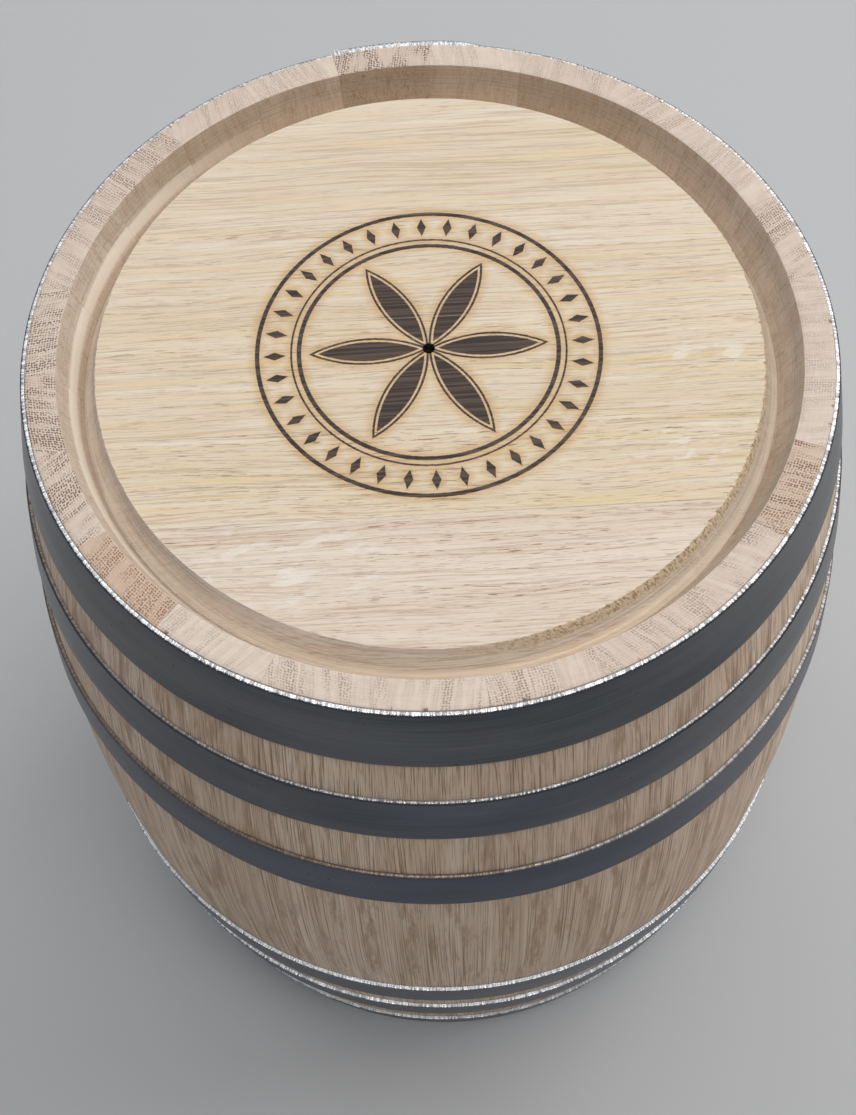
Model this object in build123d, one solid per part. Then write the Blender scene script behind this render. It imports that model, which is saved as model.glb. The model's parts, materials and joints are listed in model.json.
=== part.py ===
from build123d import *
import os
from math import asin, cos, degrees, radians, sin, sqrt

# A coopered oak barrel of about 20 litres, standing on its lower chime.
# Millimetres and degrees. +Z is up, the axis of the barrel is Z, and the origin is on the floor.
# Angles run anticlockwise from +X, seen from above. The front is -Y and the bung is at the back.

# Wooden body
barrel_height = 385.0       # chime to chime
chime_radius = 143.5        # outside of the wood at both ends
bilge_swell = 21.0          # how much further out the wood stands at half height
stave_thickness = 20.5      # at half height
chime_width = 10.9          # flat ring of stave ends at the rim
croze_wall = 21.3           # wood between the outside and the lip of the head's groove
gutter_depth = 17.5         # rim down to the lip of the groove
croze_depth = 5.0           # groove for the head, cut into the staves
croze_width = 7.0           # mouth of that groove
croze_taper = 1.2           # how much each flank of the groove closes in

# Width of each stave at the chime, anticlockwise from the joint at first_joint_angle
first_joint_angle = 8.0
stave_widths = [38.8, 40.1, 41.3, 38.8, 38.8, 38.8, 37.6, 37.1, 41.8, 43.8, 40.1, 35.1,
                40.1, 41.3, 40.8, 36.8, 37.6, 38.8, 42.1, 38.1, 38.8, 37.6, 37.6]
bung_stave_number = 6

# Heads
head_recess = 4.7           # rim down to the flat of the head
head_thickness = 22.0
head_bevel_width = 6.0      # bevel round the outer face of the head
bevel_toe_width = 2.4       # flatter toe of that bevel, beside the groove
bevel_toe_rise = 2.7
head_underbevel_width = 5.5
head_clearance = 0.15       # head to groove
board_widths = [62.0, 36.0, 47.0, 48.0, 69.0]   # front to back
pilot_diameter = 4.5        # turning hole at the centre of each head
pilot_depth = 9.0
dowel_diameter = 6.0
dowel_length = 28.0
dowel_offset = 52.0         # from the middle of each seam, to both sides
dowel_clearance = 0.05

# Hoops, each placed by its distance from the nearer rim
hoop_thickness = 1.5
hoop_clearance = 0.1        # hoop to wood
head_hoop_start = 0.6
head_hoop_width = 28.4
upper_quarter_hoop_start = 52.5
lower_quarter_hoop_start = 60.5
quarter_hoop_width = 24.5
upper_bilge_hoop_start = 108.5
lower_bilge_hoop_start = 105.0
bilge_hoop_width = 24.5
lap_length = 50.0           # where the ends of a hoop lie on each other
head_lap_angle = 92.0
quarter_lap_angle = 87.0
bilge_lap_angle = 96.0

# Rivets of the laps
rivet_diameter = 4.5
rivet_head_diameter = 8.6
rivet_head_height = 1.3
rivet_spacing = 26.0
rivet_clearance = 0.05

# Bung
bung_diameter = 31.0        # at its outer end
bung_length = 33.0
bung_taper = 0.12           # loss of diameter per length
bung_proud = 3.5            # how far it stands out of the stave
bung_chamfer = 1.6
bung_clearance = 0.1

# Values worked out from the sizes above
half_height = barrel_height / 2
bilge_radius = chime_radius + bilge_swell
arc_radius = (half_height**2 + bilge_swell**2) / (2 * bilge_swell)
full_turn = 360.0


def wood_radius(z):
    """Outside of the staves at height z."""
    return bilge_radius - arc_radius + sqrt(arc_radius**2 - (z - half_height)**2)


groove_top = barrel_height - gutter_depth
groove_bottom = groove_top - croze_width
lip_radius = wood_radius(groove_top) - croze_wall
groove_radius = lip_radius + croze_depth
head_top = barrel_height - head_recess
head_bottom = head_top - head_thickness
head_middle = head_top - head_thickness / 2
tongue_radius = groove_radius - head_clearance
bevel_foot_radius = lip_radius - head_clearance


def point(radius, z):
    return (radius, 0, z)


def mirrored(points):
    """The same points at the lower end of the barrel, in the order that goes on round the outline."""
    return [(r, y, barrel_height - z) for r, y, z in reversed(points)]


def turned(outline, angle=full_turn, start=0.0):
    """Solid turned about the axis of the barrel from the edges of a profile."""
    return Rot(0, 0, start) * revolve(make_face(outline), axis=Axis.Z, revolution_arc=angle)


def radial_plane(angle, z, radius, lean=0.0):
    """Plane that faces away from the axis of the barrel, leaning up by an angle."""
    out = Vector(cos(radians(angle)), sin(radians(angle)), 0)
    along = Vector(-sin(radians(angle)), cos(radians(angle)), 0)
    normal = out * cos(radians(lean)) + Vector(0, 0, sin(radians(lean)))
    return Plane(origin=out * radius + Vector(0, 0, z), x_dir=along, z_dir=normal)


# Staves
def stave_outline():
    upper_end = [
        point(chime_radius, barrel_height),
        point(chime_radius - chime_width, barrel_height),
        point(lip_radius, groove_top),
        point(groove_radius, groove_top - croze_taper),
        point(groove_radius, groove_bottom + croze_taper),
        point(lip_radius, groove_bottom),
    ]
    lower_end = mirrored(upper_end)
    inside = ThreePointArc(upper_end[-1], point(bilge_radius - stave_thickness, half_height), lower_end[0])
    outside = ThreePointArc(lower_end[-1], point(bilge_radius, half_height), upper_end[0])
    return [outside, Polyline(*upper_end), inside, Polyline(*lower_end)]


joint_angles = [first_joint_angle]
for width in stave_widths:
    joint_angles.append(joint_angles[-1] + full_turn * width / sum(stave_widths))
bung_angle = (joint_angles[bung_stave_number - 1] + joint_angles[bung_stave_number]) / 2


# Bung, made along its own axis with its outer end at bung_proud above the plane of the stave
def bung_cone(clearance, extra=0.0):
    outer_radius = bung_diameter / 2 + clearance + bung_taper * extra / 2
    inner_radius = outer_radius - bung_taper * (bung_length + 2 * extra) / 2
    length = bung_length + 2 * extra
    return Pos(0, 0, bung_proud + extra - length / 2) * Cone(inner_radius, outer_radius, length)


bung_place = radial_plane(bung_angle, half_height, bilge_radius).location
bung_solid = bung_cone(0.0)
bung_solid = chamfer(bung_solid.edges().sort_by(Axis.Z)[-1], bung_chamfer)
bung = bung_place * bung_solid
bung_hole = bung_place * bung_cone(bung_clearance, extra=stave_thickness)

staves = {}
for number in range(1, len(stave_widths) + 1):
    start = joint_angles[number - 1]
    stave = turned(stave_outline(), joint_angles[number] - start, start)
    if number == bung_stave_number:
        staves["bung_stave"] = stave - bung_hole
    else:
        staves[f"stave_{number:02d}"] = stave


# Heads
def head_outline():
    rim = [
        point(0, head_top),
        point(bevel_foot_radius - head_bevel_width, head_top),
        point(bevel_foot_radius - bevel_toe_width, groove_top - head_clearance + bevel_toe_rise),
        point(bevel_foot_radius, groove_top - head_clearance),
        point(tongue_radius, groove_top - croze_taper - head_clearance),
        point(tongue_radius, groove_bottom + croze_taper + head_clearance),
        point(bevel_foot_radius, groove_bottom + head_clearance),
        point(bevel_foot_radius - head_underbevel_width, head_bottom),
        point(0, head_bottom),
    ]
    return [Polyline(*rim, close=True)]


seams = [-tongue_radius]
for width in board_widths:
    seams.append(seams[-1] + 2 * tongue_radius * width / sum(board_widths))


def dowel_rods(diameter, length):
    """Rods across every seam between two boards."""
    rods = []
    for seam in seams[1:-1]:
        for side in (-1, 1):
            place = Pos(side * dowel_offset, seam, head_middle) * Rot(90, 0, 0)
            rods.append(place * Cylinder(diameter / 2, length))
    return rods


def upper_head():
    disc = turned(head_outline())
    pilot = Pos(0, 0, head_top - pilot_depth / 2) * Cylinder(pilot_diameter / 2, pilot_depth)
    sockets = dowel_rods(dowel_diameter + 2 * dowel_clearance, dowel_length + 2 * dowel_clearance)
    boards = []
    for near, far in zip(seams, seams[1:]):
        slab = Pos(0, (near + far) / 2, head_middle) * Box(4 * tongue_radius, far - near, 2 * head_thickness)
        boards.append((disc & slab) - [pilot] - sockets)
    return boards


def lower_copy(shape):
    """The same piece at the lower end of the barrel."""
    return mirror(shape, about=Plane.XY.offset(half_height))


top_boards = upper_head()
top_dowels = dowel_rods(dowel_diameter, dowel_length)
heads = {}
for number, board in enumerate(top_boards, start=1):
    heads[f"top_head_board_{number}"] = board
    heads[f"bottom_head_board_{number}"] = lower_copy(board)
heads["top_head_dowels"] = Compound(top_dowels)
heads["bottom_head_dowels"] = Compound([lower_copy(rod) for rod in top_dowels])


# Hoops and their rivets
def strip_outline(low, high, inner_offset, outer_offset):
    """Section of a strip that lies along the outside of the staves."""
    heights = (low, (low + high) / 2, high)
    inner = [point(wood_radius(z) + inner_offset, z) for z in heights]
    outer = [point(wood_radius(z) + outer_offset, z) for z in heights]
    return [
        ThreePointArc(*inner),
        Line(inner[-1], outer[-1]),
        ThreePointArc(*reversed(outer)),
        Line(outer[0], inner[0]),
    ]


def rivet_places(low, high, lap_angle):
    """Places of the two rivets, on the inner face of the hoop, pointing out of the barrel."""
    z = (low + high) / 2
    radius = wood_radius(z) + hoop_clearance
    step = degrees(rivet_spacing / 2 / radius)
    lean = degrees(asin((z - half_height) / arc_radius))
    return [
        radial_plane(angle, z, radius, lean).location
        for angle in (lap_angle - step, lap_angle + step)
    ]


def hoop_and_rivets(start, width, lap_angle):
    high = barrel_height - start
    low = high - width
    inner_face = hoop_clearance
    outer_face = inner_face + hoop_thickness
    lap_span = degrees(lap_length / wood_radius(high))
    ring = turned(strip_outline(low, high, inner_face, outer_face))
    middle_face = inner_face + hoop_thickness / 2
    lap_section = strip_outline(low, high, middle_face, outer_face + hoop_thickness)
    lap = turned(lap_section, lap_span, lap_angle - lap_span / 2)
    places = rivet_places(low, high, lap_angle)
    shank_length = 2 * hoop_thickness
    hole_length = 4 * shank_length
    holes = [place * Cylinder(rivet_diameter / 2 + rivet_clearance, hole_length) for place in places]
    return ring + lap - holes, [place * rivet(shank_length) for place in places]


def rivet(shank_length):
    head_radius = rivet_head_diameter / 2
    dome_radius = (head_radius**2 + rivet_head_height**2) / (2 * rivet_head_height)
    dome = Pos(0, 0, shank_length + rivet_head_height - dome_radius) * Sphere(dome_radius)
    blank = Pos(0, 0, shank_length + rivet_head_height / 2) * Cylinder(head_radius, rivet_head_height)
    shank = Pos(0, 0, shank_length / 2) * Cylinder(rivet_diameter / 2, shank_length)
    return (dome & blank) + shank


upper_hoop_rows = {
    "upper_head_hoop": (head_hoop_start, head_hoop_width, head_lap_angle),
    "upper_quarter_hoop": (upper_quarter_hoop_start, quarter_hoop_width, quarter_lap_angle),
    "upper_bilge_hoop": (upper_bilge_hoop_start, bilge_hoop_width, bilge_lap_angle),
}
lower_hoop_rows = {
    "lower_head_hoop": (head_hoop_start, head_hoop_width, head_lap_angle),
    "lower_quarter_hoop": (lower_quarter_hoop_start, quarter_hoop_width, quarter_lap_angle),
    "lower_bilge_hoop": (lower_bilge_hoop_start, bilge_hoop_width, bilge_lap_angle),
}
hoops = {}
rivets = []
for name, row in upper_hoop_rows.items():
    hoops[name], pair = hoop_and_rivets(*row)
    rivets += pair
for name, row in lower_hoop_rows.items():
    hoop, pair = hoop_and_rivets(*row)
    hoops[name] = lower_copy(hoop)
    rivets += [lower_copy(single) for single in pair]

# One file for each piece
nodes = {**staves, **heads, **hoops, "hoop_rivets": Compound(rivets), "bung": bung}
os.makedirs("parts", exist_ok=True)
for name, shape in nodes.items():
    shape.label = name
    export_step(shape, os.path.join("parts", f"{name}.step"))

# What the barrel holds between its heads, for the report
upper_inside = [
    point(lip_radius, groove_bottom),
    point(bevel_foot_radius - head_underbevel_width, head_bottom),
    point(0, head_bottom),
]
lower_inside = mirrored(upper_inside)
inner_arc = ThreePointArc(
    lower_inside[-1], point(bilge_radius - stave_thickness, half_height), upper_inside[0]
)
space = turned([inner_arc, Polyline(*upper_inside, *lower_inside)])
litre = 1.0e6
print(f"pieces in {len(nodes)} nodes, inside about {space.volume / litre:.2f} litres")
print(f"bung axis at {bung_angle:.3f} degrees, lip radius {lip_radius:.2f}, tongue radius {tongue_radius:.2f}")
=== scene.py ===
import json
import math
import random
import bpy
from mathutils import Matrix, Vector, noise


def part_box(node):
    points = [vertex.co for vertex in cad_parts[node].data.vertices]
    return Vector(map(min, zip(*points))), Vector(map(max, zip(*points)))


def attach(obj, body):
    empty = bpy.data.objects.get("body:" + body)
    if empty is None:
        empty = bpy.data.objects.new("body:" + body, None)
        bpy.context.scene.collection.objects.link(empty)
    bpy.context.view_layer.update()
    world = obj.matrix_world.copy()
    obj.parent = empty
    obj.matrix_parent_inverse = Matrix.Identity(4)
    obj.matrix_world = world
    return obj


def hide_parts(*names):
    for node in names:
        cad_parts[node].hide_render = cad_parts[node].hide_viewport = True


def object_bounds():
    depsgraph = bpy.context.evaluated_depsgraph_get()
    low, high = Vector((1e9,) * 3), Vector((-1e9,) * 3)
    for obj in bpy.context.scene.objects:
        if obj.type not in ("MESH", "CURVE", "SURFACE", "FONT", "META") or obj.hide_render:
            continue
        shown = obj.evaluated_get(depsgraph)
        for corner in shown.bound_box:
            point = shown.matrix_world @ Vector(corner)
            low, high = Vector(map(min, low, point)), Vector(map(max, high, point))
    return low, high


# A coopered oak barrel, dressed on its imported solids. Metres, radians, +Z up, front at -Y.
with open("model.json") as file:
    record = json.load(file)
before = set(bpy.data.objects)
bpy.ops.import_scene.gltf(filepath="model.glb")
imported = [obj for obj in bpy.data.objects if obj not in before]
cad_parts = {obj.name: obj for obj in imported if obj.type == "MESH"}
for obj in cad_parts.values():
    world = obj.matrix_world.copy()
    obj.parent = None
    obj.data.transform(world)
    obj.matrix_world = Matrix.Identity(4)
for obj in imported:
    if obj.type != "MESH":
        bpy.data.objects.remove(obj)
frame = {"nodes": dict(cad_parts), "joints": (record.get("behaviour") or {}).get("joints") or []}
cad_low, cad_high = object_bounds()
MM = 0.001

# Sizes of the wooden body, as the solids have them
barrel_height = cad_high.z
half_height = barrel_height / 2
bilge_radius = -cad_low.x
chime_radius = 143.5 * MM
stave_thickness = 20.5 * MM
chime_width = 10.9 * MM
croze_wall = 21.3 * MM
gutter_depth = 17.5 * MM
croze_depth = 5.0 * MM
croze_width = 7.0 * MM
croze_taper = 1.2 * MM
bilge_swell = bilge_radius - chime_radius
arc_radius = (half_height**2 + bilge_swell**2) / (2 * bilge_swell)


def wood_radius(z):
    """Outside of the staves at height z."""
    return bilge_radius - arc_radius + math.sqrt(arc_radius**2 - (z - half_height)**2)


groove_top = barrel_height - gutter_depth
groove_bottom = groove_top - croze_width
lip_radius = wood_radius(groove_top) - croze_wall
groove_radius = lip_radius + croze_depth

# Staves: small shapes of hand work, and rows of points along each stretch of the section
stave_count = 23
bung_stave_number = 6
joint_gap = 0.004 * MM
stave_edge = 0.03 * MM
rim_edge = 0.35 * MM
outer_shoulder = (0.15 * rim_edge, 0.4 * rim_edge)
inner_shoulder = (0.2 * rim_edge, 0.3 * rim_edge)
rim_tilt = 0.25
uneven_rim = 0.06 * MM
uneven_outside = 0.12 * MM
uneven_share = 0.1
howel_depth = 0.5 * MM
howel_start = 0.06
stave_columns = 8
outside_rows = 34
rim_rows = 6
wall_rows = 9
inside_rows = 14
wood_sharp_degrees = 32.0

# Heads
head_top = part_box("top_head_board_3")[1].z
head_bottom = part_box("top_head_board_3")[0].z
head_clearance = 0.15 * MM
head_bevel_width = 6.0 * MM
head_underbevel_width = 5.5 * MM
bevel_foot_radius = lip_radius - head_clearance
bevel_toe_width = 2.4 * MM
bevel_toe_rise = 2.7 * MM
head_flat_radius = bevel_foot_radius - head_bevel_width
tongue_radius = groove_radius - head_clearance
pilot_radius = 2.25 * MM
pilot_depth = 9.0 * MM
pilot_segments = 32
board_count = 5
seam_edge = 0.015 * MM
face_seam_edge = 3 * seam_edge
face_round = 0.15 * MM
arc_step = math.radians(0.25)
least_arc_steps = 8
bevel_rows = 5
toe_rows = 3

# Torn fibres at the rim of a head, most at the right
torn_side = math.radians(-30.0)
tooth_depth = 1.9 * MM
tooth_width = 1.7 * MM
fine_tooth_width = 0.7 * MM
fine_tooth_share = 0.5
left_tear = 0.3
bevel_tear = 0.6

# Hoops
hoop_thickness = 1.5 * MM
hoop_clearance = 0.1 * MM
hoop_corner = 0.18 * hoop_thickness
corner_share = 0.3
hoop_crown = 0.7 * MM
hoop_steps = 1100
hoop_inside_rows = 3
hoop_edge_rows = 6
hoop_face_rows = 5
hoop_sharp_degrees = 40.0
lap_length = 50.0 * MM
lap_angles = {"head": 92.0, "quarter": 87.0, "bilge": 96.0}
lap_ramp = 9.0 * MM
lap_clearance = 0.05 * MM
lap_clip = 1.2 * MM
lap_flare = 0.4 * MM
flare_clips = 4
lap_corner = 2.5 * MM
uncover_rate = 3
burr = 0.12 * MM
burr_nick = 0.7
burr_grit = 0.3
hoop_grain_jump = 1.7

# How brightly the upper edge of each hoop is painted, partly its own finish and partly painted highlight,
# how that painted highlight swings toward the lit side, how much of it is bare metal, and how blue the face
# is, partly a painted reflection
hoop_looks = {
    "upper_head_hoop": (1.15, -0.5, 0.72, 0.15),
    "upper_quarter_hoop": (0.15, 0.35, 0.6, 0.45),
    "upper_bilge_hoop": (-0.9, 1.2, 1.3, 1.0),
    "lower_head_hoop": (0.6, 0.0, 0.9, 0.9),
    "lower_quarter_hoop": (1.0, 0.0, 0.9, 0.9),
    "lower_bilge_hoop": (1.0, 0.0, 0.9, 0.9),
}
# Side toward which the painted highlight on the hoop edges is brightest
glint_side = math.radians(-45.0)

# Bung, along its own axis from the outside of its stave
bung_joint = next(joint for joint in frame["joints"] if joint["name"] == "bung_pull")
bung_axis = Vector(bung_joint["axis"]).normalized()
bung_radius = 15.5 * MM
bung_length = 33.0 * MM
bung_taper = 0.12
bung_proud = 3.5 * MM
bung_round = 1.6 * MM
bung_foot_round = 0.8 * MM
bung_clearance = 0.1 * MM
bung_dish = 0.2 * MM
dish_shoulder_share = 0.55
dish_shoulder_drop = 0.15 * MM
bung_rows = 8
bung_round_rows = 5
bung_segments = 72
hole_tool_depth = 1.6 * stave_thickness
hole_tool_proud = 2 * bung_proud

# Looks of the wood, as (tone, pores, warmth): the staves that stand out on the upper rim by number,
# the range of pores and warmth of the plain ones, and the boards of a head from front to back
marked_staves = {
    1: (0.4, 0.9, 0.1), 5: (0.2, 0.3, 0.0), 6: (1.0, 2.6, 0.1), 9: (0.5, 0.8, 0.1),
    10: (0.2, 0.7, 0.1), 11: (0.4, 1.3, 0.05), 12: (0.6, 1.8, 0.1), 13: (0.3, 1.3, 0.1),
    14: (0.7, 1.0, 0.55), 15: (-0.1, 0.35, 0.0), 16: (0.0, 0.6, 0.05), 17: (0.1, 0.6, 0.05),
    18: (0.0, 0.7, 0.1), 19: (0.2, 0.6, 0.15), 20: (0.3, 0.7, 0.05), 21: (0.8, 1.7, 0.4),
}
plain_pores = (0.3, 0.5)
plain_warmth = (0.0, 0.12)
board_looks = [(0.1, 0.65, 0.05), (0.45, 0.6, 0.75), (0.45, 0.45, 0.6), (0.3, 0.4, 0.5), (0.3, 0.25, 0.5)]
board_seed_step = 0.13
bottom_head_seed = 0.5

# Places of the pale ray flakes on the heads: x, y and reach, in millimetres, and the way the flakes lean
flake_places = ((-52.0, -85.0, 44.0), (98.0, -12.0, 24.0), (84.0, -46.0, 26.0))
flake_lean = (0.96, 0.28)

# Burnt rosette round the pilot hole of the upper head, in millimetres
petal_count = 6
petal_reach = 43.0
petal_rim = 0.8
petal_gap = 0.8
rosette_rings = ((46.5, 0.8), (49.3, 0.35), (61.5, 0.8))
lozenge_count = 36
lozenge_ring = 55.3
lozenge_half_width = 1.7
lozenge_half_length = 4.0
scorch_reach = 4.0


# Shader nodes
class Value:
    """Output of a shader node. Arithmetic with it, and its methods, add the nodes that follow."""

    def __init__(self, tree, socket):
        self.tree = tree
        self.socket = socket

    def __add__(self, other):
        return self.tree.math("ADD", self, other)

    def __sub__(self, other):
        return self.tree.math("SUBTRACT", self, other)

    def __rsub__(self, other):
        return self.tree.math("SUBTRACT", other, self)

    def __mul__(self, other):
        return self.tree.math("MULTIPLY", self, other)

    def __truediv__(self, other):
        return self.tree.math("DIVIDE", self, other)

    def __abs__(self):
        return self.tree.math("ABSOLUTE", self)

    def swing(self, reach):
        """Noise, which lies between 0 and 1, as a swing to both sides of 0."""
        return (self - 0.5) * reach

    def step(self, low, high, to_low=0, to_high=1):
        """Smooth step from to_low to to_high while the value goes from low to high."""
        inputs = {0: self, 1: low, 2: high, 3: to_low, 4: to_high}
        return self.tree.add("ShaderNodeMapRange", inputs, interpolation_type="SMOOTHSTEP")[0]

    def mix(self, first, second, blend="MIX"):
        """Two colours mixed by this amount."""
        inputs = {0: self, 6: first, 7: second}
        return self.tree.add("ShaderNodeMix", inputs, data_type="RGBA", blend_type=blend)[2]

    def stretch(self, scale):
        return self.tree.vector_math("MULTIPLY", self, scale)[0]

    def in_mm(self):
        return self.stretch((1000, 1000, 1000))

    def shift(self, offset):
        return self.tree.vector_math("ADD", self, offset)[0]

    def length(self):
        return self.tree.vector_math("LENGTH", self)["Value"]

    def split(self):
        outputs = self.tree.add("ShaderNodeSeparateXYZ", {0: self})
        return outputs[0], outputs[1], outputs[2]

    def noise(self, scale, detail=2, roughness=0.5, distortion=0):
        """Noise at this place, with so many waves a unit along each axis."""
        inputs = {"Vector": self.stretch(scale), "Scale": 1,
                  "Detail": detail, "Roughness": roughness, "Distortion": distortion}
        return self.tree.add("ShaderNodeTexNoise", inputs)["Fac"]


class Tree:
    """Adds nodes to a node tree and gives back their outputs as values."""

    def __init__(self, tree):
        self.tree = tree

    def add(self, kind, inputs=None, **settings):
        """New node, as its outputs by number and by name."""
        node = self.tree.nodes.new(kind)
        for key, value in settings.items():
            setattr(node, key, value)
        self.fill(node, inputs or {})
        outputs = {}
        for number, socket in enumerate(node.outputs):
            outputs[number] = outputs[socket.name] = Value(self, socket)
        return outputs

    def fill(self, node, inputs):
        """Joins values to a node's sockets, and sets numbers, vectors and colours on them."""
        for key, value in inputs.items():
            socket = node.inputs[key]
            if isinstance(value, Value):
                self.tree.links.new(value.socket, socket)
            else:
                socket.default_value = (*value, 1) if socket.type == "RGBA" else value

    def math(self, operation, *values, clamp=False):
        return self.add("ShaderNodeMath", dict(enumerate(values)), operation=operation, use_clamp=clamp)[0]

    def vector_math(self, operation, *vectors):
        return self.add("ShaderNodeVectorMath", dict(enumerate(vectors)), operation=operation)

    def hypot(self, x, y):
        return self.math("SQRT", x * x + y * y)

    def largest(self, value, *others):
        for other in others:
            value = self.math("MAXIMUM", value, other)
        return value

    def join(self, x, y, z):
        return self.add("ShaderNodeCombineXYZ", {0: x, 1: y, 2: z})[0]

    def attribute(self, name, output="Vector"):
        return self.add("ShaderNodeAttribute", attribute_name=name)[output]

    def object_place(self):
        return self.add("ShaderNodeTexCoord")["Object"]

    def use(self, group, **inputs):
        return self.add("ShaderNodeGroup", inputs, node_tree=group)


class Group(Tree):
    """Shader node group with named inputs, as values in given. Its outputs are named when it is closed."""

    kinds = {"Place": "Vector"}
    kinds.update(dict.fromkeys(("Pale", "Brown", "Pore", "Light", "Dark", "Colour"), "Color"))

    def __init__(self, name, inputs):
        super().__init__(bpy.data.node_groups.new(name, "ShaderNodeTree"))
        for key in inputs.split():
            self.add_socket(key, "INPUT")
        self.given = self.add("NodeGroupInput")

    def add_socket(self, name, in_out):
        kind = self.kinds.get(name, "Float")
        self.tree.interface.new_socket(name, in_out=in_out, socket_type=f"NodeSocket{kind}")

    def close(self, **outputs):
        for key in outputs:
            self.add_socket(key, "OUTPUT")
        self.add("NodeGroupOutput", outputs)
        return self.tree


class Finish(Tree):
    """Material with one shader, whose sockets are filled when it is closed."""

    def __init__(self, name):
        self.material = bpy.data.materials.new(name)
        self.material.use_nodes = True
        super().__init__(self.material.node_tree)
        self.shader = self.tree.nodes["Principled BSDF"]

    def close(self, colour, rough, relief=None, gloss=0.5, metal=0):
        """Relief is a height, its bump's strength and its depth in metres, gloss the specular level."""
        inputs = {"Base Color": colour, "Roughness": rough, "Specular IOR Level": gloss, "Metallic": metal}
        if relief:
            height, strength, depth = relief
            bump = {"Height": height, "Strength": strength, "Distance": depth}
            inputs["Normal"] = self.add("ShaderNodeBump", bump)[0]
        self.fill(self.shader, inputs)
        return self.material


def own_place(tree, jump):
    """Place in the wood in millimetres, moved by the piece's seed, so that no two pieces are alike."""
    seed = tree.given["Seed"]
    return tree.given["Place"].in_mm().shift(tree.join(seed, seed, seed).stretch(jump))


def long_grain_group():
    """Oak seen along its fibres. Place is x along, y across and z into the board, in metres."""
    tree = Group("oak_long_grain", "Place Seed Pale Brown Pore Bands Figure Hairs Pores")
    given = tree.given
    place = own_place(tree, (911, 377, 173))
    wander = place.noise((0.009, 0.03, 0.03)).swing(8)
    x, y, z = place.split()
    place = tree.join(x, y + wander, z)
    bands = place.noise((0.003, 0.09, 0.05), 2, 0.55)
    rings = place.noise((0.006, 0.55, 0.2), 3, 0.6)
    fibres = place.noise((0.05, 2.2, 0.8), 3, 0.65)
    marks = place.noise((0.035, 0.33, 0.2), 3, 0.6)
    dashes = place.noise((0.13, 2.6, 0.7))
    hairs = place.noise((0.02, 1.2, 0.5), 2, 0.55)
    ring_mask = rings.step(0.42, 0.66)
    tone = bands.step(0.3, 0.7) * given["Bands"] + ring_mask * 0.25 + fibres.swing(1.1)
    figure = marks.step(0.53, 0.68) * given["Figure"]
    tone = tree.math("ADD", tone, figure, clamp=True)
    colour = tone.mix(given["Pale"], given["Brown"])
    lines = hairs.step(0.53, 0.62) * given["Hairs"]
    colour = lines.mix(colour, given["Pore"])
    pores = dashes.step(0.59, 0.63) * (ring_mask * 0.65 + 0.35)
    shown = tree.math("MULTIPLY", pores, given["Pores"], clamp=True)
    colour = shown.mix(colour, given["Pore"])
    height = fibres * 0.35 - pores - lines * 0.5
    return tree.close(Colour=colour, Height=height, Shown=shown)


def end_grain_group():
    """Oak seen on its sawn ends: rows of pores across the stave, with fine rays between them."""
    tree = Group("oak_end_grain", "Place Seed Pale Brown Pore Pores")
    given = tree.given
    x, across, depth = own_place(tree, (53, 911, 377)).split()
    lean = tree.math("FRACT", given["Seed"] * 7.31) - 0.5
    across = across + lean * 0.8 * depth
    wander = tree.join(across, depth, x).noise((0.09, 0.12, 0.1))
    flat = tree.join(across + wander.swing(1.6), depth, x)
    rings = flat.noise((0.42, 0.03, 0.1), 2, 0.6)
    rows = rings.step(0.36, 0.58)
    weave = {"Vector": flat.stretch((0.95, 1.05, 0)), "Scale": 1, "Randomness": 0.42}
    dots = tree.add("ShaderNodeTexVoronoi", weave, voronoi_dimensions="2D")["Distance"]
    patches = flat.noise((0.12, 0.05, 0.1))
    dots = dots.step(0.22, 0.44, 1, 0) * patches.step(0.34, 0.58) * (rows * 0.8 + 0.2)
    shown = tree.math("MULTIPLY", dots, given["Pores"], clamp=True)
    rays = flat.noise((0.1, 1.5, 0.1), 2, 0.6)
    mottle = flat.noise((0.35, 0.3, 0.1), 3, 0.6)
    lines = flat.noise((1.25, 0.07, 0.1), 2, 0.6)
    tone = rows * 0.2 + rays * 0.45 + (lines * 0.9 - 0.42)
    tone = tree.math("ADD", tone, mottle * 0.7 - 0.35, clamp=True)
    colour = tone.mix(given["Pale"], given["Brown"])
    colour = shown.mix(colour, given["Pore"])
    return tree.close(Colour=colour, Height=rays * 0.4 - dots)


def steel_group():
    """Rolled steel strip: fine lines along it, a faint cloudy tone and a few pits."""
    tree = Group("rolled_steel", "Place Light Dark")
    place = tree.given["Place"].in_mm()
    clouds = place.noise((0.012, 0.05, 0.05))
    lines = place.noise((0.02, 1.7, 1.7), 2, 0.6)
    pits = place.noise((0.5, 0.5, 0.5)).step(0.72, 0.77)
    tone = clouds.step(0.2, 0.8) + lines * 1.4
    tone = tree.math("SUBTRACT", tone, pits + 0.7, clamp=True)
    colour = tone.mix(tree.given["Dark"], tree.given["Light"])
    return tree.close(Colour=colour, Roughness=lines * 0.08 + pits * 0.3 + 0.3, Height=lines * 0.3 - pits)


long_grain = long_grain_group()
end_grain = end_grain_group()
rolled_steel = steel_group()


def piece_look(tree):
    """Tone, pores and warmth of one piece, and its seed."""
    return *tree.attribute("look").split(), tree.attribute("seed", "Fac")


def darken_joints(tree, colour, dark, reach, strength):
    """Darkens a thin line along the edges where two pieces meet."""
    near = tree.attribute("edge_distance", "Fac").step(0, reach, strength, 0)
    return near.mix(colour, dark)


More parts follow.
